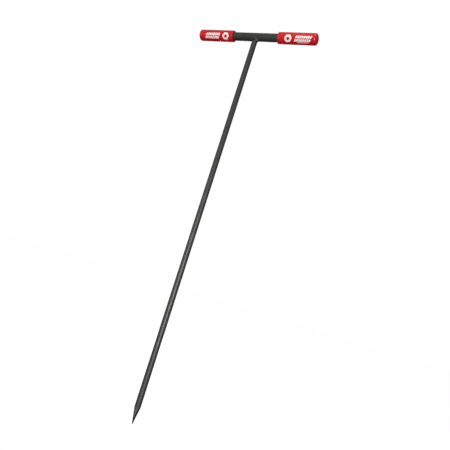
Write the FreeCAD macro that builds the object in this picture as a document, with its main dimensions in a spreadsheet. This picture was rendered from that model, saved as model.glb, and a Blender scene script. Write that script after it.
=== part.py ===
import FreeCAD, Part
import os

import Sketcher

# T-handled driving bar: a solid round bar ground to a point, welded up into the underside of a tube
# crossbar, with a moulded closed-end grip pushed over each end of the crossbar.
#
# Frame: millimetres, origin at the tip of the point, +Z up the bar, crossbar along X, the printed side
# of the grips towards -Y and down.  Each sub-part is one object and one file, parts/<Label>.step.

V = FreeCAD.Vector
INCH = 25.4

DOC = FreeCAD.newDocument("driving_bar")
SHEET = DOC.addObject("Spreadsheet::Sheet", "sizes")


def fill_sheet():
    """Every driving dimension, in millimetres or degrees, under its own alias."""
    dimensions = [
        # bar
        ("bar_dia", INCH * 11 / 16, "solid round bar"),
        ("overall_height", INCH * 48, "tip to the top of the crossbar tube"),
        ("point_length", 46.0, "length of the ground cone"),
        ("nose_radius", 0.9, "rounding on the very tip"),
        ("spigot_dia", INCH / 2, "turned end of the bar, which enters the tube"),
        ("end_break", 0.5, "broken edge on the cut ends of bar and tube"),
        ("seat_gap", 0.05, "between the bar's end and the inside of the tube"),
        # crossbar
        ("tube_dia", INCH, "tube outside"),
        ("tube_wall", 2.1, "tube wall, 14 gauge"),
        ("tube_length", INCH * 15.5, "tube from end to end"),
        ("hole_play", 0.2, "how much wider the drilled hole is than the spigot"),
        # weld
        ("weld_radius", 5.0, "radius of the weld's hollow face"),
        ("weld_cover", 0.25, "how far the weld stands out from the bar at its toe"),
        ("weld_blank", 60.0, "length of tube and bar that the weld is shaped on"),
        # grips
        ("grip_dia", INCH * 11 / 8, "grip outside"),
        ("grip_length", INCH * 4.875, "mouth to the edge of the closed end"),
        ("grip_end_wall", 3.2, "thickness of the closed end at its edge"),
        ("grip_crown", 1.8, "how far the closed end bulges"),
        ("grip_shoulder", 7.5, "radius between the side and the closed end"),
        ("mouth_round", 1.2, "radius on the outer edge of the mouth"),
        # printed marks
        ("ink_thick", 0.12, "thickness of the ink"),
        ("print_turn", 36.0, "how far the print's centre faces below -Y, in degrees"),
        ("row_height", 7.6, "height of one row of slanted bars"),
        ("row_pitch", 9.6, "centre to centre of the two rows"),
        ("slant_width", 4.2, "width of one slanted bar"),
        ("slant_pitch", 6.4, "centre to centre of the slanted bars"),
        ("slant_lean", 20.0, "lean of the bars, in degrees"),
        ("left_nut_place", 24.0, "mouth of the left grip to the centre of its nut mark"),
        ("right_nut_place", 35.0, "mouth of the right grip to the centre of its nut mark"),
        ("rows_offset", 47.0, "centre of the nut mark to the middle of the rows"),
        ("rule_height", 1.5, "height of the thin rule under the right grip's rows"),
        ("nut_across", 24.0, "printed hexagon nut, corner to corner"),
        ("nut_hole_dia", 10.5, "round gap in the middle of the nut mark"),
    ]
    for row, (alias, value, note) in enumerate(dimensions, start=1):
        SHEET.set(f"A{row}", alias)
        SHEET.set(f"B{row}", f"{value:.6g}")
        SHEET.set(f"C{row}", note)
        SHEET.setAlias(f"B{row}", alias)
    DOC.recompute()


AXIS_HEIGHT = "(sizes.overall_height - sizes.tube_dia / 2)"
BORE_RADIUS = "(sizes.tube_dia / 2 - sizes.tube_wall)"
TOE_DROP = "(sizes.tube_dia / 2 + sizes.weld_radius)"
MOUTH_PLACE = "(sizes.tube_length / 2 + sizes.grip_end_wall - sizes.grip_length)"


# ---- small helpers ----


def new_body(label):
    body = DOC.addObject("PartDesign::Body", label)
    body.Label = label
    return body


def new_sketch(body, name, plane_role):
    """A sketch on one of the body's own origin planes."""
    plane = next(feature for feature in body.Origin.OriginFeatures if feature.Role == plane_role)
    sketch = body.newObject("Sketcher::SketchObject", name)
    sketch.AttachmentSupport = [(plane, "")]
    sketch.MapMode = "FlatFace"
    return sketch


def fix(sketch, kind, *where, size=None):
    """Adds a constraint; an expression in size drives it from the sheet."""
    index = sketch.addConstraint(Sketcher.Constraint(kind, *where))
    if size is not None:
        sketch.setExpression(f"Constraints[{index}]", size)


def circle_sketch(body, name, plane_role, *diameters):
    """Circles on one centre, the sketch's origin."""
    sketch = new_sketch(body, name, plane_role)
    for number, diameter in enumerate(diameters):
        start_radius = 12.0 - 2.0 * number
        sketch.addGeometry(Part.Circle(V(0, 0, 0), V(0, 0, 1), start_radius), False)
        fix(sketch, "Coincident", number, 3, -1, 1)
        fix(sketch, "Diameter", number, 2 * start_radius, size=diameter)
    return sketch


def require(condition, message):
    if not condition:
        raise ValueError(message)


# ---- bar with its ground point ----


def make_shaft():
    """Solid round bar, ground to a long straight-sided cone with a small nose.  Its top is turned down to
    a spigot, which enters the tube's lower wall and seats against the inside of its upper wall, and the
    bevel under the spigot makes room for the weld."""
    body = new_body("shaft")
    sketch = new_sketch(body, "shaft_outline", "XZ_Plane")
    nose, radius, shoulder, toe, spigot, top = 0.9, 8.7, 46.0, 1188.8, 6.35, 1215.3
    corners = [
        V(0.885, 0.74, 0),
        V(radius, shoulder, 0),
        V(radius, toe, 0),
        V(spigot, toe + 5.0, 0),
        V(spigot, top - 0.5, 0),
        V(spigot - 0.5, top, 0),
        V(0, top, 0),
        V(0, 0, 0),
    ]
    outline = [Part.ArcOfCircle(Part.Circle(V(0, nose, 0), V(0, 0, 1), nose), -1.57, -0.18)]
    outline += [Part.LineSegment(start, end) for start, end in zip(corners, corners[1:])]
    sketch.addGeometry(outline, False)
    edges = len(outline)
    fix(sketch, "Tangent", 0, 2, 1, 1)
    for edge in range(1, edges - 1):
        fix(sketch, "Coincident", edge, 2, edge + 1, 1)
    fix(sketch, "Coincident", edges - 1, 2, 0, 1)
    fix(sketch, "Coincident", 0, 1, -1, 1)
    fix(sketch, "PointOnObject", 0, 3, -2)
    for upright in (2, 4, 7):
        fix(sketch, "Vertical", upright)
    fix(sketch, "Horizontal", 6)
    fix(sketch, "Radius", 0, nose, size="sizes.nose_radius")
    fix(sketch, "DistanceX", -1, 1, 2, 1, radius, size="sizes.bar_dia / 2")
    fix(sketch, "DistanceY", -1, 1, 2, 1, shoulder, size="sizes.point_length")
    fix(sketch, "DistanceY", -1, 1, 2, 2, toe, size=f"{AXIS_HEIGHT} - {TOE_DROP}")
    fix(sketch, "DistanceX", -1, 1, 4, 1, spigot, size="sizes.spigot_dia / 2")
    fix(sketch, "DistanceY", -1, 1, 4, 1, toe + 5.0, size=f"{AXIS_HEIGHT} - sizes.tube_dia / 2")
    fix(sketch, "DistanceX", 6, 1, 5, 1, 0.5, size="sizes.end_break")
    fix(sketch, "DistanceY", 5, 1, 6, 1, 0.5, size="sizes.end_break")
    end_radius = "(sizes.spigot_dia / 2 - sizes.end_break)"
    top_height = f"{AXIS_HEIGHT} + sqrt({BORE_RADIUS} ^ 2 - {end_radius} ^ 2) - sizes.seat_gap"
    fix(sketch, "DistanceY", -1, 1, 6, 2, top, size=top_height)
    DOC.recompute()
    turned = body.newObject("PartDesign::Revolution", "turned_bar")
    turned.Profile = sketch
    turned.ReferenceAxis = (sketch, ["V_Axis"])
    turned.Angle = 360.0
    DOC.recompute()
    return body


# ---- crossbar ----


def make_crossbar():
    """Round tube along X, with one hole through its lower wall for the bar's spigot."""
    body = new_body("crossbar_tube")
    section = circle_sketch(body, "tube_section", "YZ_Plane", "sizes.tube_dia", f"2 * {BORE_RADIUS}")
    tube = body.newObject("PartDesign::Pad", "tube_run")
    tube.Profile = section
    tube.SideType = "Symmetric"
    tube.setExpression("Length", "sizes.tube_length")
    DOC.recompute()

    outline = circle_sketch(body, "spigot_hole_outline", "XY_Plane", "sizes.spigot_dia + sizes.hole_play")
    hole = body.newObject("PartDesign::Pocket", "spigot_hole")
    hole.Profile = outline
    hole.Type = "Length"
    hole.setExpression("Length", "sizes.tube_dia")
    DOC.recompute()
    drilled_side = tube.Shape.cut(hole.Shape).BoundBox
    require(drilled_side.isValid() and drilled_side.ZMax < 0, "the hole is not in the lower wall")

    rims = [
        f"Edge{number}"
        for number, edge in enumerate(hole.Shape.Edges, start=1)
        if edge.BoundBox.XLength < 0.01 and edge.BoundBox.YLength > SHEET.tube_dia - 0.01
    ]
    require(len(rims) == 2, "a tube has two outer rims")
    broken = body.newObject("PartDesign::Chamfer", "cut_ends")
    broken.Base = (hole, rims)
    broken.setExpression("Size", "sizes.end_break")
    body.Tip = broken
    body.setExpression(".Placement.Base.z", AXIS_HEIGHT)
    DOC.recompute()
    return body


# ---- weld ----


def make_weld():
    """Weld all round the bar, under the tube: the hollow fillet between two round blanks that have the
    sizes of the tube and the bar.  The tube and the bar's real end, with its bevel, are then cut away."""
    body = new_body("shaft_weld")
    tube_outline = circle_sketch(body, "tube_blank_section", "YZ_Plane", "sizes.tube_dia")
    tube = body.newObject("PartDesign::Pad", "tube_blank")
    tube.Profile = tube_outline
    tube.SideType = "Symmetric"
    tube.setExpression("Length", "sizes.weld_blank")
    DOC.recompute()

    blank_dia = "sizes.bar_dia + 2 * sizes.weld_cover"
    bar_outline = circle_sketch(body, "bar_blank_section", "XY_Plane", blank_dia)
    bar = body.newObject("PartDesign::Pad", "bar_blank")
    bar.Profile = bar_outline
    bar.Reversed = True
    bar.setExpression("Length", "sizes.weld_blank")
    DOC.recompute()

    saddle = [
        f"Edge{number}"
        for number, edge in enumerate(bar.Shape.Edges, start=1)
        if edge.BoundBox.ZLength > 0.5
        and edge.BoundBox.XMax < SHEET.bar_dia / 2 + 2 * SHEET.weld_cover
        and edge.BoundBox.ZMin > -SHEET.tube_dia / 2 - 0.1
    ]
    require(saddle, "the bar meets the tube along no edge")
    filled = body.newObject("PartDesign::Fillet", "weld_metal")
    filled.Base = (bar, saddle)
    filled.setExpression("Radius", "sizes.weld_radius")
    body.Tip = filled
    DOC.recompute()

    tube_void = body.newObject("PartDesign::Pocket", "tube_place")
    tube_void.Profile = circle_sketch(body, "tube_place_section", "YZ_Plane", "sizes.tube_dia")
    tube_void.SideType = "Symmetric"
    tube_void.setExpression("Length", "2 * sizes.weld_blank")
    DOC.recompute()
    sketch = new_sketch(body, "bar_place_outline", "XZ_Plane")
    wide, radius, spigot, toe, underside, reach = 9.7, 8.7, 6.4, -17.7, -12.7, 60.0
    corners = [V(0, -reach, 0), V(wide, -reach, 0), V(wide, toe, 0), V(radius, toe, 0)]
    corners += [V(spigot, underside, 0), V(spigot, 0, 0), V(0, 0, 0)]
    edges = len(corners)
    for edge in range(edges):
        sketch.addGeometry(Part.LineSegment(corners[edge], corners[(edge + 1) % edges]), False)
    for edge in range(edges - 1):
        fix(sketch, "Coincident", edge, 2, edge + 1, 1)
    fix(sketch, "Coincident", edges - 1, 2, 0, 1)
    fix(sketch, "Coincident", 6, 1, -1, 1)
    for upright in (1, 4, 6):
        fix(sketch, "Vertical", upright)
    for level in (0, 2, 5):
        fix(sketch, "Horizontal", level)
    fix(sketch, "DistanceY", 0, 1, -1, 1, reach, size="sizes.weld_blank")
    fix(sketch, "DistanceX", -1, 1, 1, 1, wide, size="sizes.bar_dia / 2 + 4 * sizes.weld_cover")
    fix(sketch, "DistanceX", -1, 1, 3, 1, radius, size="sizes.bar_dia / 2")
    fix(sketch, "DistanceY", 3, 1, -1, 1, -toe, size=TOE_DROP)
    fix(sketch, "DistanceX", -1, 1, 4, 1, spigot, size="sizes.spigot_dia / 2")
    fix(sketch, "DistanceY", 4, 1, -1, 1, -underside, size="sizes.tube_dia / 2")
    DOC.recompute()
    bar_void = body.newObject("PartDesign::Groove", "bar_place")
    bar_void.Profile = sketch
    bar_void.ReferenceAxis = (sketch, ["V_Axis"])
    bar_void.Angle = 360.0
    body.setExpression(".Placement.Base.z", AXIS_HEIGHT)
    DOC.recompute()
    require(bar_void.Shape.Volume < 0.1 * filled.Shape.Volume, "the blanks were not cut away")
    return body


# ---- grips ----


def make_grip(label, side):
    """Moulded cup pushed over one end of the tube; side is -1 for the left end and +1 for the right.  It
    is turned about the X axis, with its mouth at the body's origin and its closed end towards +X."""
    body = new_body(label)
    sketch = new_sketch(body, f"{label}_outline", "XY_Plane")
    bore, outside, lip, depth, length = 12.7, 17.5, 1.2, 120.6, 123.8
    shoulder, crown, dome, bend = 7.5, 1.8, 28.5, 0.49
    axis = V(0, 0, 1)
    shoulder_centre = V(length - shoulder, outside - shoulder, 0)
    sketch.addGeometry(
        [
            Part.ArcOfCircle(Part.Circle(V(length + crown - dome, 0, 0), axis, dome), 0, bend),
            Part.ArcOfCircle(Part.Circle(shoulder_centre, axis, shoulder), bend, 1.57),
            Part.LineSegment(V(length - shoulder, outside, 0), V(lip, outside, 0)),
            Part.ArcOfCircle(Part.Circle(V(lip, outside - lip, 0), axis, lip), 1.57, 3.14),
            Part.LineSegment(V(0, outside - lip, 0), V(0, bore, 0)),
            Part.LineSegment(V(0, bore, 0), V(depth, bore, 0)),
            Part.LineSegment(V(depth, bore, 0), V(depth, 0, 0)),
            Part.LineSegment(V(depth, 0, 0), V(length + crown, 0, 0)),
        ],
        False,
    )
    for edge in range(4):
        fix(sketch, "Tangent", edge, 2, edge + 1, 1)
    for edge in range(4, 8):
        fix(sketch, "Coincident", edge, 2, (edge + 1) % 8, 1)
    fix(sketch, "PointOnObject", 0, 3, -1)
    fix(sketch, "PointOnObject", 0, 1, -1)
    fix(sketch, "PointOnObject", 6, 2, -1)
    fix(sketch, "PointOnObject", 4, 2, -2)
    fix(sketch, "Horizontal", 2)
    fix(sketch, "Vertical", 4)
    fix(sketch, "Horizontal", 5)
    fix(sketch, "Vertical", 6)
    half_flat = "(sizes.grip_dia / 2 - sizes.grip_shoulder)"
    dome_radius = f"({half_flat} ^ 2 + sizes.grip_crown ^ 2) / (2 * sizes.grip_crown)"
    fix(sketch, "Radius", 0, dome, size=dome_radius)
    fix(sketch, "Radius", 1, shoulder, size="sizes.grip_shoulder")
    fix(sketch, "Radius", 3, lip, size="sizes.mouth_round")
    fix(sketch, "DistanceY", -1, 1, 2, 1, outside, size="sizes.grip_dia / 2")
    fix(sketch, "DistanceX", -1, 1, 0, 1, length + crown, size="sizes.grip_length + sizes.grip_crown")
    fix(sketch, "DistanceY", -1, 1, 5, 1, bore, size="sizes.tube_dia / 2")
    fix(sketch, "DistanceX", -1, 1, 6, 1, depth, size="sizes.grip_length - sizes.grip_end_wall")
    DOC.recompute()
    turned = body.newObject("PartDesign::Revolution", f"{label}_moulding")
    turned.Profile = sketch
    turned.ReferenceAxis = (sketch, ["H_Axis"])
    turned.Angle = 360.0
    if side < 0:
        body.Placement.Rotation = FreeCAD.Rotation(V(0, 0, 1), 180)
    body.setExpression(".Placement.Base.x", f"{side} * {MOUTH_PLACE}")
    body.setExpression(".Placement.Base.z", AXIS_HEIGHT)
    DOC.recompute()
    return body


# ---- printed marks on the grips ----


def add_cylinder(name, diameter, length, turn_axis):
    """A cylinder centred on the origin, lying along X or Y: turn_axis is what it is turned about."""
    cylinder = DOC.addObject("Part::Cylinder", name)
    cylinder.setExpression("Radius", f"({diameter}) / 2")
    cylinder.setExpression("Height", length)
    lies_along_x = turn_axis == "Y"
    turn = FreeCAD.Rotation(V(0, 1, 0), 90) if lies_along_x else FreeCAD.Rotation(V(1, 0, 0), 90)
    cylinder.Placement.Rotation = turn
    if lies_along_x:
        cylinder.setExpression(".Placement.Base.x", f"-({length}) / 2")
    return cylinder


def join(kind, name, shapes):
    joined = DOC.addObject(kind, name)
    joined.Shapes = shapes
    return joined


def cut(name, base, tool):
    result = DOC.addObject("Part::Cut", name)
    result.Base = base
    result.Tool = tool
    return result


def add_block(name, middle_x, length, foot_z, height):
    """A block on the -Y side of the X axis, its length centred on middle_x."""
    block = DOC.addObject("Part::Box", name)
    block.setExpression("Length", length)
    block.setExpression("Width", "sizes.grip_dia")
    block.setExpression("Height", height)
    block.setExpression(".Placement.Base.x", f"{middle_x} - ({length}) / 2")
    block.setExpression(".Placement.Base.y", "-sizes.grip_dia")
    block.setExpression(".Placement.Base.z", foot_z)
    return block


def make_print(label, side, nut_place, bars, ruled):
    """White ink on a grip: two rows of slanted bars towards the closed end, with a thin rule under them
    where ruled, and a hexagon nut towards the mouth.  The marks are upright blocks facing -Y, trimmed to
    a thin skin over the grip's round side."""
    nut_x = f"({side} * ({MOUTH_PLACE} + {nut_place}))"
    rows_x = f"({nut_x} + {side} * sizes.rows_offset)"

    slants = []
    lean = "sizes.slant_lean * 1 deg"
    for number in range(bars):
        step = number - (bars - 1) / 2
        foot_x = f"{rows_x} + {step} * sizes.slant_pitch - sizes.grip_dia * tan({lean})"
        name = f"{label}_slant_{number}"
        slant = add_block(name, foot_x, "sizes.slant_width", "-sizes.grip_dia", "2 * sizes.grip_dia")
        slant.Placement.Rotation = FreeCAD.Rotation(V(0, 1, 0), SHEET.slant_lean)
        slants.append(slant)

    rows = []
    row_length = f"{bars + 1} * sizes.slant_pitch"
    for name, level in (("upper", 1), ("lower", -1)):
        foot_z = f"({level} * sizes.row_pitch - sizes.row_height) / 2"
        rows.append(add_block(f"{label}_{name}_row", rows_x, row_length, foot_z, "sizes.row_height"))

    slanted = join("Part::MultiFuse", f"{label}_slants", slants)
    banded = join("Part::MultiFuse", f"{label}_rows", rows)
    hatch = join("Part::MultiCommon", f"{label}_hatch", [slanted, banded])

    hexagon = DOC.addObject("Part::Prism", f"{label}_hexagon")
    hexagon.Polygon = 6
    hexagon.setExpression("Circumradius", "sizes.nut_across / 2")
    hexagon.setExpression("Height", "sizes.grip_dia")
    hexagon.Placement.Rotation = FreeCAD.Rotation(V(1, 0, 0), 90)
    nut_hole = add_cylinder(f"{label}_nut_hole", "sizes.nut_hole_dia", "sizes.grip_dia", "X")
    for round_mark in (hexagon, nut_hole):
        round_mark.setExpression(".Placement.Base.x", nut_x)

    marks = [hatch, cut(f"{label}_nut", hexagon, nut_hole)]
    if ruled:
        rule_length = f"{bars - 2} * sizes.slant_pitch"
        rule_z = "-(sizes.row_pitch + sizes.row_height) / 2 - 2 * sizes.rule_height"
        marks.append(add_block(f"{label}_rule", rows_x, rule_length, rule_z, "sizes.rule_height"))
    flat_marks = join("Part::MultiFuse", f"{label}_flat_marks", marks)
    ink_dia = "sizes.grip_dia + 2 * sizes.ink_thick"
    skin_outside = add_cylinder(f"{label}_skin_outside", ink_dia, "sizes.tube_length", "Y")
    skin_inside = add_cylinder(f"{label}_skin_inside", "sizes.grip_dia", "2 * sizes.tube_length", "Y")
    skin = cut(f"{label}_skin", skin_outside, skin_inside)
    ink = join("Part::MultiCommon", label, [flat_marks, skin])
    ink.Label = label
    ink.Placement.Rotation = FreeCAD.Rotation(V(1, 0, 0), SHEET.print_turn)
    ink.setExpression(".Placement.Base.z", AXIS_HEIGHT)
    DOC.recompute()
    return ink


# ---- whole bar ----


def check_document():
    for item in DOC.Objects:
        bad = [word for word in item.State if word in ("Invalid", "Error")]
        require(not bad, f"{item.Name} did not recompute: {item.State}")


def export(sub_parts):
    os.makedirs("parts", exist_ok=True)
    for sub_part in sub_parts:
        shape = sub_part.Shape
        sound = not shape.isNull() and shape.isValid() and shape.Solids
        require(sound, f"{sub_part.Label} has no valid solid")
        shape.exportStep(f"parts/{sub_part.Label}.step")
        box = shape.BoundBox
        size = f"{box.XLength:.2f} x {box.YLength:.2f} x {box.ZLength:.2f}"
        print(f"{sub_part.Label}: {len(shape.Solids)} solid(s), {shape.Volume:.0f} mm3, {size} mm")


BARS_IN_A_ROW = 8

fill_sheet()
SUB_PARTS = [make_shaft(), make_crossbar(), make_weld()]
for hand, way in (("left", -1), ("right", 1)):
    SUB_PARTS.append(make_grip(f"{hand}_grip", way))
    nut_place = f"sizes.{hand}_nut_place"
    ruled = hand == "right"
    SUB_PARTS.append(make_print(f"{hand}_grip_print", way, nut_place, BARS_IN_A_ROW, ruled))
DOC.recompute()
check_document()
export(SUB_PARTS)
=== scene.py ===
import math

import bmesh
import bpy
from mathutils import Matrix, Vector, noise


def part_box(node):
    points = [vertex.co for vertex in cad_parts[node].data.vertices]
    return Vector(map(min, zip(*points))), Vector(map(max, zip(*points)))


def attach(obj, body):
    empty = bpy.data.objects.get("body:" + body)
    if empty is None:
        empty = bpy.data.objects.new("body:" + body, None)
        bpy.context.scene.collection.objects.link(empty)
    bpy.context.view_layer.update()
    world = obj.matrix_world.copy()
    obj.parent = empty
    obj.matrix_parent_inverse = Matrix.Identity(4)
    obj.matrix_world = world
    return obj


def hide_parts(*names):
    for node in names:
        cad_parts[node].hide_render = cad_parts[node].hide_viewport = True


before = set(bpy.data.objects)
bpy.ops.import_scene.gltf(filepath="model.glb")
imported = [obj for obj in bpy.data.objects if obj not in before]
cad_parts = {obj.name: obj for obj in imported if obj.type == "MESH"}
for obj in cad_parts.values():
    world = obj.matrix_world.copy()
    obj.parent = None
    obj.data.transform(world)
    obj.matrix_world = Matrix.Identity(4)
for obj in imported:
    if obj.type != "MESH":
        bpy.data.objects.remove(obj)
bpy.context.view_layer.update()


# ---------------------------------------------------------------- the bar
# Solid round steel bar, 11/16 in, with its end ground to a long cone.  It is coated dark and satin after
# welding.  The coat follows the fine lines that drawing left along the bar, and it is scuffed in use; the
# cone keeps the rings of the grinding wheel.  Its tip is painted darker, partly for steel hardened there
# and partly as painted shade that reaches higher on the side turned from the light.

MM = 0.001

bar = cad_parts["shaft"]
bar_low, bar_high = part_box("shaft")
bar_radius = (bar_high.x - bar_low.x) / 2

# The coat: its tone, and the sizes of its marks as a count of lumps to the metre.  A window is the part of
# the noise, which runs from 0 to 1, that a mark is taken from.
even = (1, 1, 1)
coat_dark = (0.031, 0.031, 0.029, 1)
coat_light = (0.064, 0.064, 0.060, 1)
coat_metal = 0.35
cloud_lumps = 55.0
cloud_window = (0.34, 0.66)
cloud_share = 0.55
line_lumps = 1400.0
line_window = (0.32, 0.68)
line_stretch = 0.012
line_share = 0.45
line_depth = 0.004 * MM
grit_lumps = 2600.0
grit_depth = 0.006 * MM
scuff_grey = (0.15, 0.15, 0.145, 1)
scuff_lumps = 420.0
scuff_window = (0.685, 0.72)
scuff_stretch = 0.06
scuff_cover = 0.55
scuff_depth = 0.006 * MM
handled_lumps = 9.0
handled_window = (0.48, 0.62)

# The cone: where the grinding starts, its rings, and how far up the dark tip reaches, partly hardened
# steel and partly painted shade.  The painted shade tilts its edge, which climbs 4 mm for each mm along X
# and 2 mm for each mm along Y, so the right and back of the cone, away from the light, are darker.
point_length = 46 * MM
point_edge = 1 * MM
edge_lumps = 160.0
edge_window = (0.3, 0.7)
edge_wander = 2.5 * MM
ground_grey = (0.13, 0.13, 0.127, 1)
ground_share = 0.5
ring_lumps = 2300.0
ring_window = (0.35, 0.65)
ring_stretch = (0.04, 0.04, 1.0)
ring_share = 0.4
ring_depth = 0.05 * MM
hardened_and_shade_dark = (0.020, 0.021, 0.024, 1)
dark_tip_length = 27 * MM
dark_tip_edge = 2 * MM
painted_shade_slope = (4.0, 2.0, 0)


def new_material(name):
    """An empty node material and its Principled shader."""
    material = bpy.data.materials.new(name)
    material.use_nodes = True
    return material, material.node_tree.nodes["Principled BSDF"]


def add(material, kind, inputs=None, **settings):
    """A node in a material, with its settings and socket values; a value that is a socket is linked."""
    node = material.node_tree.nodes.new(kind)
    for key, value in settings.items():
        setattr(node, key, value)
    for key, value in (inputs or {}).items():
        if isinstance(value, bpy.types.NodeSocket):
            material.node_tree.links.new(value, node.inputs[key])
        else:
            node.inputs[key].default_value = value
    return node


def set_shader(material, shader, **inputs):
    """Values or links on the shader's own sockets; an underscore in a name stands for a space."""
    for key, value in inputs.items():
        socket = shader.inputs[key.replace("_", " ")]
        if isinstance(value, bpy.types.NodeSocket):
            material.node_tree.links.new(value, socket)
        else:
            socket.default_value = value


def stretched(material, scale):
    """Object coordinates in metres, multiplied by one number for each axis."""
    coordinates = add(material, "ShaderNodeTexCoord").outputs["Object"]
    return add(material, "ShaderNodeMapping", {"Vector": coordinates, "Scale": scale}).outputs["Vector"]


def speckle(material, scale, lumps, detail=4.0, roughness=0.6):
    """Noise from 0 to 1: scale stretches it for each axis, and lumps is its count of lumps to the metre."""
    where = stretched(material, scale)
    inputs = {"Vector": where, "Scale": lumps, "Detail": detail, "Roughness": roughness}
    return add(material, "ShaderNodeTexNoise", inputs).outputs["Fac"]


def remap(material, value, low, high, to_low=0.0, to_high=1.0):
    """Value from low..high to to_low..to_high, held at both ends."""
    inputs = {"Value": value, "From Min": low, "From Max": high, "To Min": to_low, "To Max": to_high}
    return add(material, "ShaderNodeMapRange", inputs, clamp=True).outputs["Result"]


def blend_colours(material, amount, first, second):
    """First colour where amount is 0, second where it is 1."""
    inputs = {0: amount, 6: first, 7: second}
    return add(material, "ShaderNodeMix", inputs, data_type="RGBA").outputs[2]


def combine(material, kind, first, second):
    """ADD, SUBTRACT, MULTIPLY or MAXIMUM of two values or sockets."""
    return add(material, "ShaderNodeMath", {0: first, 1: second}, operation=kind).outputs[0]


def raised(material, height, depth, below=None):
    """Bump of the given depth in metres over a 0..1 height, on top of another bump if one is given."""
    inputs = {"Height": height, "Strength": 1.0, "Distance": depth}
    if below is not None:
        inputs["Normal"] = below
    return add(material, "ShaderNodeBump", inputs).outputs["Normal"]


def satin_coat(name, grain, gloss_low=0.40, gloss_high=0.50):
    """Dark satin coat over steel: cloudy tone, drawn lines along the grain, grit and thin scuffs.  grain is
    1 on the long axis, or on all three where no line shows.  The gloss limits are roughness.  Returns the
    material, its shader, and the colour, roughness and normal."""
    material, shader = new_material(name)
    along_lines = tuple(line_stretch if value else 1.0 for value in grain)
    along_scuffs = tuple(scuff_stretch if value else 1.0 for value in grain)
    cloud_noise = speckle(material, even, cloud_lumps, detail=6.0, roughness=0.68)
    clouds = remap(material, cloud_noise, *cloud_window)
    lines = remap(material, speckle(material, along_lines, line_lumps, detail=5.0), *line_window)
    cloudy = combine(material, "MULTIPLY", clouds, cloud_share)
    lined = combine(material, "MULTIPLY", lines, line_share)
    tone = combine(material, "ADD", cloudy, lined)
    colour = blend_colours(material, tone, coat_dark, coat_light)
    scuff_noise = speckle(material, along_scuffs, scuff_lumps, detail=2.0, roughness=0.5)
    scuffs = remap(material, scuff_noise, *scuff_window, 0.0, scuff_cover)
    handled = remap(material, speckle(material, even, handled_lumps), *handled_window)
    worn = combine(material, "MULTIPLY", scuffs, handled)
    colour = blend_colours(material, worn, colour, scuff_grey)
    gloss = remap(material, tone, 0.0, 1.0, gloss_high, gloss_low)
    normal = raised(material, lines, line_depth)
    normal = raised(material, speckle(material, even, grit_lumps, detail=3.0), grit_depth, normal)
    normal = raised(material, scuffs, -scuff_depth, normal)
    return material, shader, colour, gloss, normal


def paint(part, material):
    """The given material alone on a part's own mesh."""
    part.data.materials.clear()
    part.data.materials.append(material)


bar_coat, bar_shader, colour, gloss, normal = satin_coat("bar_coat", (0, 0, 1))
on_bar = stretched(bar_coat, even)
height = add(bar_coat, "ShaderNodeSeparateXYZ", {0: on_bar}).outputs["Z"]
edge_noise = speckle(bar_coat, even, edge_lumps)
wander = remap(bar_coat, edge_noise, *edge_window, -edge_wander, edge_wander)
wandering = combine(bar_coat, "ADD", height, wander)
on_cone = remap(bar_coat, wandering, point_length - point_edge, point_length + point_edge, 1.0, 0.0)

ring_noise = speckle(bar_coat, ring_stretch, ring_lumps)
rings = combine(bar_coat, "MULTIPLY", remap(bar_coat, ring_noise, *ring_window), on_cone)
ringed = combine(bar_coat, "ADD", combine(bar_coat, "MULTIPLY", rings, ring_share), ground_share)
ground = combine(bar_coat, "MULTIPLY", on_cone, ringed)
colour = blend_colours(bar_coat, ground, colour, ground_grey)

# Painted shade: the dark tip's edge is tilted so that it reaches higher on the right and back of the cone,
# where less light falls.
painted_shade_tilt = add(bar_coat, "ShaderNodeVectorMath", {0: on_bar, 1: painted_shade_slope}, operation="DOT_PRODUCT")
dark_edge_height = combine(bar_coat, "SUBTRACT", wandering, painted_shade_tilt.outputs["Value"])
dark_edge_low, dark_edge_high = dark_tip_length - dark_tip_edge, dark_tip_length + dark_tip_edge
hardened_and_painted_shade = combine(bar_coat, "MULTIPLY", remap(bar_coat, dark_edge_height, dark_edge_low, dark_edge_high, 1.0, 0.0), on_cone)
colour = blend_colours(bar_coat, hardened_and_painted_shade, colour, hardened_and_shade_dark)
normal = raised(bar_coat, rings, ring_depth, normal)
set_shader(bar_coat, bar_shader, Base_Color=colour, Roughness=gloss, Normal=normal, Metallic=coat_metal)
paint(bar, bar_coat)


# ---------------------------------------------------------------- the crossbar
# Round steel tube, 1 in across, sawn to length, with one hole drilled in its underside for the bar's
# spigot.  It has the same dark coat as the bar, with the drawn lines running the other way, and hands
# and gloves have rubbed the stretch between the grips a little smoother.

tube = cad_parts["crossbar_tube"]
tube_low, tube_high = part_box("crossbar_tube")
tube_radius = (tube_high.z - tube_low.z) / 2
axis_height = (tube_high.z + tube_low.z) / 2
tube_gloss = (0.30, 0.46)

tube_coat, tube_shader, colour, gloss, normal = satin_coat("tube_coat", (1, 0, 0), *tube_gloss)
set_shader(tube_coat, tube_shader, Base_Color=colour, Roughness=gloss, Normal=normal, Metallic=coat_metal)
paint(tube, tube_coat)


# ---------------------------------------------------------------- the weld
# One pass of weld all round the bar where it meets the tube's underside.  The welder's steps left a row
# of overlapping crescents, and the toes wander a little.  It was brushed and coated with the rest.

weld_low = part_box("shaft_weld")[0]
weld_radius = tube_low.z - weld_low.z
weld_root = 0.5 * MM
hollow_share = 0.45
toe_wander = 0.07
toe_waves, toe_layer = 2.2, 0.4
crescents = 27
steps_in_crescent = 14
steps_across = 12
crescent_rise = 0.30 * MM
crescent_bow = 1.7
crescent_drift = 0.45
drift_waves, drift_layer = 4.5, 7.7
crescent_fullness = 0.7
toe_fullness = 0.5
weld_gloss = (0.48, 0.60)
weld_dark = (0.014, 0.014, 0.013, 1)
weld_dark_share = 0.45
spatter_lumps = 900.0
spatter_window = (0.66, 0.74)
spatter_depth = 0.02 * MM


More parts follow.
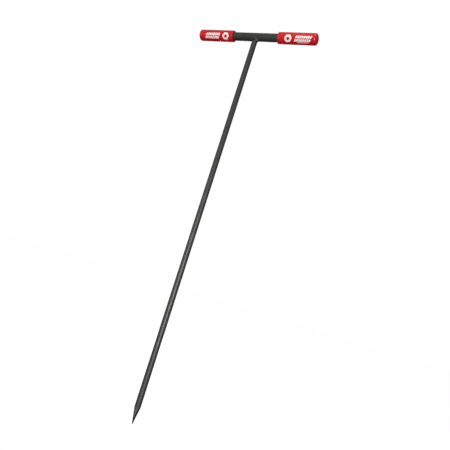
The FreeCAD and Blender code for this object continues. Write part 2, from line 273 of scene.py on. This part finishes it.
def closed_mesh(name, loops, material, ring=False):
    """A mesh from loops of points, each joined to the next.  In a ring the last joins the first, and
    otherwise the first and last loops are capped."""
    shape = bmesh.new()
    rows = [[shape.verts.new(point) for point in loop] for loop in loops]
    pairs = list(zip(rows, rows[1:] + rows[:1])) if ring else list(zip(rows, rows[1:]))
    for this, following in pairs:
        for first in range(len(this)):
            second = (first + 1) % len(this)
            shape.faces.new((this[first], this[second], following[second], following[first]))
    if not ring:
        shape.faces.new(rows[0][::-1])
        shape.faces.new(rows[-1])
    bmesh.ops.recalc_face_normals(shape, faces=shape.faces)
    mesh = bpy.data.meshes.new(name)
    shape.to_mesh(mesh)
    shape.free()
    mesh.polygons.foreach_set("use_smooth", [True] * len(mesh.polygons))
    mesh.materials.append(material)
    piece = bpy.data.objects.new(name, mesh)
    bpy.context.scene.collection.objects.link(piece)
    return piece


def weld_section(turn, step):
    """Closed outline of the weld in the direction turn round the bar.  Its hollow face is the side of a
    ball that rolls along the corner between bar and tube, made about half as hollow and raised by
    crescents.  Its root reaches a little way into the bar and the tube."""
    sway = noise.noise(Vector((toe_waves * math.cos(turn), toe_waves * math.sin(turn), toe_layer)))
    drift = noise.noise(Vector((drift_waves * math.cos(turn), drift_waves * math.sin(turn), drift_layer)))
    ball = weld_radius * (1 - toe_wander * (0.5 + 0.5 * sway))
    reach = bar_radius + ball
    drop = math.sqrt((tube_radius + ball) ** 2 - (reach * math.sin(turn)) ** 2)
    centre = Vector((reach * math.cos(turn), reach * math.sin(turn), -drop))
    share = tube_radius / (tube_radius + ball)
    bar_toe = Vector((bar_radius * math.cos(turn), bar_radius * math.sin(turn), -drop))
    tube_toe = Vector((centre.x, centre.y * share, centre.z * share))
    face = []
    for number in range(steps_across + 1):
        along = number / steps_across
        chord = bar_toe.lerp(tube_toe, along)
        outward = (centre - chord).normalized()
        hollow = centre - outward * ball
        point = chord.lerp(hollow, hollow_share)
        crescent = step / steps_in_crescent + crescent_bow * (along - 0.5) ** 2 + crescent_drift * drift
        crown = (0.5 - 0.5 * math.cos(2 * math.pi * crescent)) ** crescent_fullness
        face.append(point + outward * crescent_rise * crown * math.sin(math.pi * along) ** toe_fullness)
    into_tube = Vector((0, tube_toe.y, tube_toe.z)).normalized() * -weld_root
    into_bar = Vector((math.cos(turn), math.sin(turn), 0)) * -weld_root
    corner_drop = math.sqrt(tube_radius ** 2 - bar_toe.y ** 2)
    corner = Vector((bar_toe.x, bar_toe.y, -corner_drop)) + into_bar + into_tube
    outline = face + [tube_toe + into_tube, corner, bar_toe + into_bar]
    return [point + Vector((0, 0, axis_height)) for point in outline]


weld_coat, weld_shader, colour, gloss, normal = satin_coat("weld_coat", (1, 1, 1), *weld_gloss)
spatter = remap(weld_coat, speckle(weld_coat, even, spatter_lumps, detail=1.0), *spatter_window)
normal = raised(weld_coat, spatter, spatter_depth, normal)
colour = blend_colours(weld_coat, weld_dark_share, colour, weld_dark)
set_shader(weld_coat, weld_shader, Base_Color=colour, Roughness=gloss, Normal=normal, Metallic=coat_metal)
weld_steps = crescents * steps_in_crescent
weld_loops = [weld_section(2 * math.pi * step / weld_steps, step) for step in range(weld_steps)]
weld = closed_mesh("weld_bead", weld_loops, weld_coat, ring=True)
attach(weld, "root")
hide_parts("shaft_weld")


# ---------------------------------------------------------------- the grips
# Two red vinyl grips, each moulded as one cup with a closed, slightly domed end and a rolled mouth.  They
# are warmed, pushed over the ends of the tube and shrink tight, so the skin is a little uneven.  The two
# halves of the mould left a fine line, low on the front and high on the back, that meets over the end.

grip_shoulder = 7.5 * MM
grip_crown = 1.8 * MM
grip_floor = 3.2 * MM
grip_lip = 1.2 * MM
bore_break = 0.3 * MM
floor_rings = (1, 0.5, 0.02)
grip_around = 192
dome_steps = 12
shoulder_steps = 14
side_steps = 90
lip_steps = 8

# The skin's unevenness.  Its points lie further out than the bore's or, on the closed end, further along
# than the bore's floor, so the bore stays plain; so does the very middle of the end.
parting_turn = math.radians(36)
parting_rise = 0.04 * MM
parting_width = 1.0 * MM
skin_wave = 0.030 * MM
waves_along = 60
waves_around = 1.5
wave_shift = 3.0
skin_margin = 0.5 * MM
skin_end_from = 121.5 * MM
plain_middle = 1 * MM

vinyl_red = (0.52, 0.014, 0.019, 1)
vinyl_deep = (0.32, 0.007, 0.009, 1)
vinyl_gloss = (0.26, 0.40)
mottle_lumps = 70.0
mottle_window = (0.30, 0.70)
mottle_share = 0.30
rubbing_lumps = 34.0
rubbing_window = (0.42, 0.66)
rubbing_stretch = (0.5, 1, 1)
peel_lumps = 1100.0
peel_depth = 0.018 * MM
pore_lumps = 3200.0
pore_window = (0.30, 0.42)
pore_depth = 0.010 * MM


def grip_outline(length, radius, bore):
    """Points (along, radius) from the middle of the closed end, over the side and the lip, and down the
    bore to the middle of its floor.  Along is 0 at the mouth.  The dome and the shoulder meet smoothly."""
    rim = radius - grip_shoulder
    dome = (rim ** 2 + grip_crown ** 2) / (2 * grip_crown)
    lean = math.asin(rim / (dome - grip_shoulder))
    shoulder_centre = length - dome + (dome - grip_shoulder) * math.cos(lean)
    points = []
    for number in range(1, dome_steps + 1):
        angle = lean * number / dome_steps
        points.append((length - dome + dome * math.cos(angle), dome * math.sin(angle)))
    for number in range(1, shoulder_steps + 1):
        angle = lean + (math.pi / 2 - lean) * number / shoulder_steps
        along = shoulder_centre + grip_shoulder * math.cos(angle)
        points.append((along, rim + grip_shoulder * math.sin(angle)))
    side_start = points[-1][0]
    for number in range(1, side_steps + 1):
        points.append((side_start + (grip_lip - side_start) * number / side_steps, radius))
    for number in range(1, lip_steps + 1):
        angle = math.pi / 2 * number / lip_steps
        along = grip_lip - grip_lip * math.sin(angle)
        points.append((along, radius - grip_lip + grip_lip * math.cos(angle)))
    floor = length - grip_crown - grip_floor
    points += [(0, bore + bore_break), (bore_break, bore)]
    points += [(floor, bore * share) for share in floor_rings]
    return points


def grip_point(along, radius, turn, side, mouth, outside):
    """One point of a grip, with the waves of its fit and the parting line of the mould on its skin.  turn
    starts at the top and goes round by the back."""
    from_parting = abs(math.sin(turn - parting_turn)) * outside
    line = math.exp(-((from_parting / parting_width) ** 2))
    up, back = math.cos(turn), math.sin(turn)
    place = (along * waves_along, up * waves_around, back * waves_around + wave_shift * side)
    wave = noise.noise(Vector(place))
    on_skin = radius > tube_radius + skin_margin or along > skin_end_from
    rise = parting_rise * line + skin_wave * wave if on_skin and radius > plain_middle else 0.0
    reach = radius + rise
    return Vector((side * (mouth + along), reach * back, axis_height + reach * up))


def make_grip(node, side, material):
    """A grip of the size of its part; side is -1 for the left one and 1 for the right."""
    low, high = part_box(node)
    length = high.x - low.x
    outside = (high.z - low.z) / 2
    mouth = min(abs(low.x), abs(high.x))
    turns = [2 * math.pi * number / grip_around for number in range(grip_around)]
    loops = []
    for along, radius in grip_outline(length, outside, tube_radius):
        loops.append([grip_point(along, radius, turn, side, mouth, outside) for turn in turns])
    grip = closed_mesh(node + "_moulding", loops, material)
    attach(grip, "root")
    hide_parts(node)


vinyl, vinyl_shader = new_material("red_vinyl")
mottle = remap(vinyl, speckle(vinyl, even, mottle_lumps), *mottle_window)
mottle = combine(vinyl, "MULTIPLY", mottle, mottle_share)
colour = blend_colours(vinyl, mottle, vinyl_red, vinyl_deep)
rubbing_noise = speckle(vinyl, rubbing_stretch, rubbing_lumps, detail=6.0, roughness=0.7)
rubbing = remap(vinyl, rubbing_noise, *rubbing_window)
gloss = remap(vinyl, rubbing, 0.0, 1.0, *vinyl_gloss)
normal = raised(vinyl, speckle(vinyl, even, peel_lumps, detail=2.0, roughness=0.5), peel_depth)
pores = remap(vinyl, speckle(vinyl, even, pore_lumps, detail=1.0), *pore_window)
normal = raised(vinyl, pores, pore_depth, normal)
set_shader(vinyl, vinyl_shader, Base_Color=colour, Roughness=gloss, Normal=normal)
make_grip("left_grip", -1, vinyl)
make_grip("right_grip", 1, vinyl)


# ---------------------------------------------------------------- the printed marks
# White ink, screen-printed on each grip before it is fitted: two rows of slanted bars and a hexagon nut,
# and on the right grip a thin rule below the rows.  The ink is thin, so the red shows through at pinholes
# from the screen's mesh, and it has worn where hands rub it.

ink_white = (0.84, 0.80, 0.78, 1)
ink_thin = (0.80, 0.50, 0.48, 1)
ink_gloss = (0.42, 0.58)
pinhole_lumps = 1500.0
pinhole_window = (0.60, 0.68)
rubbed_lumps = 120.0
rubbed_window = (0.52, 0.70)
rubbed_share = 0.5
weave_lumps = 2000.0
weave_depth = 0.015 * MM

ink, ink_shader = new_material("white_ink")
pinholes = remap(ink, speckle(ink, even, pinhole_lumps, detail=2.0), *pinhole_window)
rubbed = remap(ink, speckle(ink, even, rubbed_lumps, detail=5.0), *rubbed_window, 0.0, rubbed_share)
colour = blend_colours(ink, combine(ink, "MAXIMUM", pinholes, rubbed), ink_white, ink_thin)
gloss = remap(ink, rubbed, 0.0, rubbed_share, *ink_gloss)
normal = raised(ink, speckle(ink, even, weave_lumps, detail=2.0), weave_depth)
set_shader(ink, ink_shader, Base_Color=colour, Roughness=gloss, Normal=normal)
for node in ("left_grip_print", "right_grip_print"):
    paint(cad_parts[node], ink)


# ---------------------------------------------------------------- floor, light and camera
# A plain pale floor that reaches past the view.  It glows evenly, so that the lamps leave no patch on it,
# and it lights nothing.  Round it is a plain white surround, with four soft lamps in front and one behind.

floor_reach = 60.0
floor_drop = 0.3 * MM
floor_corners = [(-1, -1), (1, -1), (1, 1), (-1, 1)]
floor_pale = (0.10, 0.10, 0.10, 1)
white = (1, 1, 1, 1)
floor_glow = 0.97

floor_mesh = bpy.data.meshes.new("floor")
floor_points = [(x * floor_reach, y * floor_reach, -floor_drop) for x, y in floor_corners]
floor_mesh.from_pydata(floor_points, [], [(0, 1, 2, 3)])
floor = bpy.data.objects.new("floor", floor_mesh)
bpy.context.scene.collection.objects.link(floor)
floor_paint, floor_shader = new_material("floor_paint")
set_shader(floor_paint, floor_shader, Base_Color=floor_pale, Roughness=0.9, Specular_IOR_Level=0.0)
set_shader(floor_paint, floor_shader, Emission_Color=white, Emission_Strength=floor_glow)
floor_mesh.materials.append(floor_paint)
floor.visible_diffuse = False
floor.visible_glossy = False

# The surround looks white, but its light on the tool is dim, from almost none below to grey above.
light_below = (0.012, 0.012, 0.012, 1)
light_above = (0.22, 0.22, 0.23, 1)
light_band = (-0.25, 0.8)

world = bpy.data.worlds.new("surround")
bpy.context.scene.world = world
world.use_nodes = True
world.node_tree.nodes.clear()
direction = add(world, "ShaderNodeTexCoord").outputs["Generated"]
climb = add(world, "ShaderNodeSeparateXYZ", {0: direction}).outputs["Z"]
light = blend_colours(world, remap(world, climb, *light_band), light_below, light_above)
lighting = add(world, "ShaderNodeBackground", {"Color": light}).outputs[0]
backdrop = add(world, "ShaderNodeBackground", {"Color": white}).outputs[0]
camera_ray = add(world, "ShaderNodeLightPath").outputs["Is Camera Ray"]
surround = add(world, "ShaderNodeMixShader", {0: camera_ray, 1: lighting, 2: backdrop}).outputs[0]
add(world, "ShaderNodeOutputWorld", {0: surround})


def soft_lamp(name, place, aim, size, power, mirrored=True):
    """A square area lamp, in watts, turned towards the point aim.  A lamp that isn't mirrored only lights
    surfaces and doesn't show as a highlight in them."""
    data = bpy.data.lights.new(name, "AREA")
    data.shape = "SQUARE"
    data.size = size
    data.energy = power
    lamp = bpy.data.objects.new(name, data)
    lamp.location = place
    lamp.rotation_euler = (Vector(aim) - Vector(place)).to_track_quat("-Z", "Y").to_euler()
    lamp.visible_glossy = mirrored
    lamp.visible_camera = False
    bpy.context.scene.collection.objects.link(lamp)


soft_lamp("front_lamp", place=(-0.35, -2.0, 1.35), aim=(0, 0, 1.1), size=0.7, power=14, mirrored=False)
soft_lamp("low_lamp", place=(0.90, -1.66, 0.32), aim=(0, 0, 0.36), size=0.5, power=40)
soft_lamp("left_lamp", place=(-1.9, -1.5, 0.9), aim=(0, 0, 0.7), size=1.2, power=8)
soft_lamp("high_lamp", place=(0.15, -1.25, 2.9), aim=(0, 0, 1.2), size=0.6, power=13)
soft_lamp("back_lamp", place=(-0.95, 1.90, 1.0), aim=(0, 0, 0.8), size=0.7, power=60, mirrored=False)

# The camera stands low, in front and to the right, looks up a little, and is tilted so that the bar leans.
camera_data = bpy.data.cameras.new("camera")
camera_data.sensor_width = 36.0
camera_data.lens = 33.2
camera_data.clip_start = 0.01
camera_data.clip_end = 200.0
camera = bpy.data.objects.new("camera", camera_data)
bpy.context.scene.collection.objects.link(camera)
forward = Vector((-0.387438, 0.907277, 0.163521)).normalized()
upward = Vector((-0.209703, -0.259457, 0.942712))
rightward = forward.cross(upward).normalized()
upward = rightward.cross(forward)
camera.matrix_world = Matrix((rightward, upward, -forward)).transposed().to_4x4()
camera.location = (0.54834, -1.07628, 0.39823)
bpy.context.scene.camera = camera
bpy.context.scene.view_settings.view_transform = "Standard"
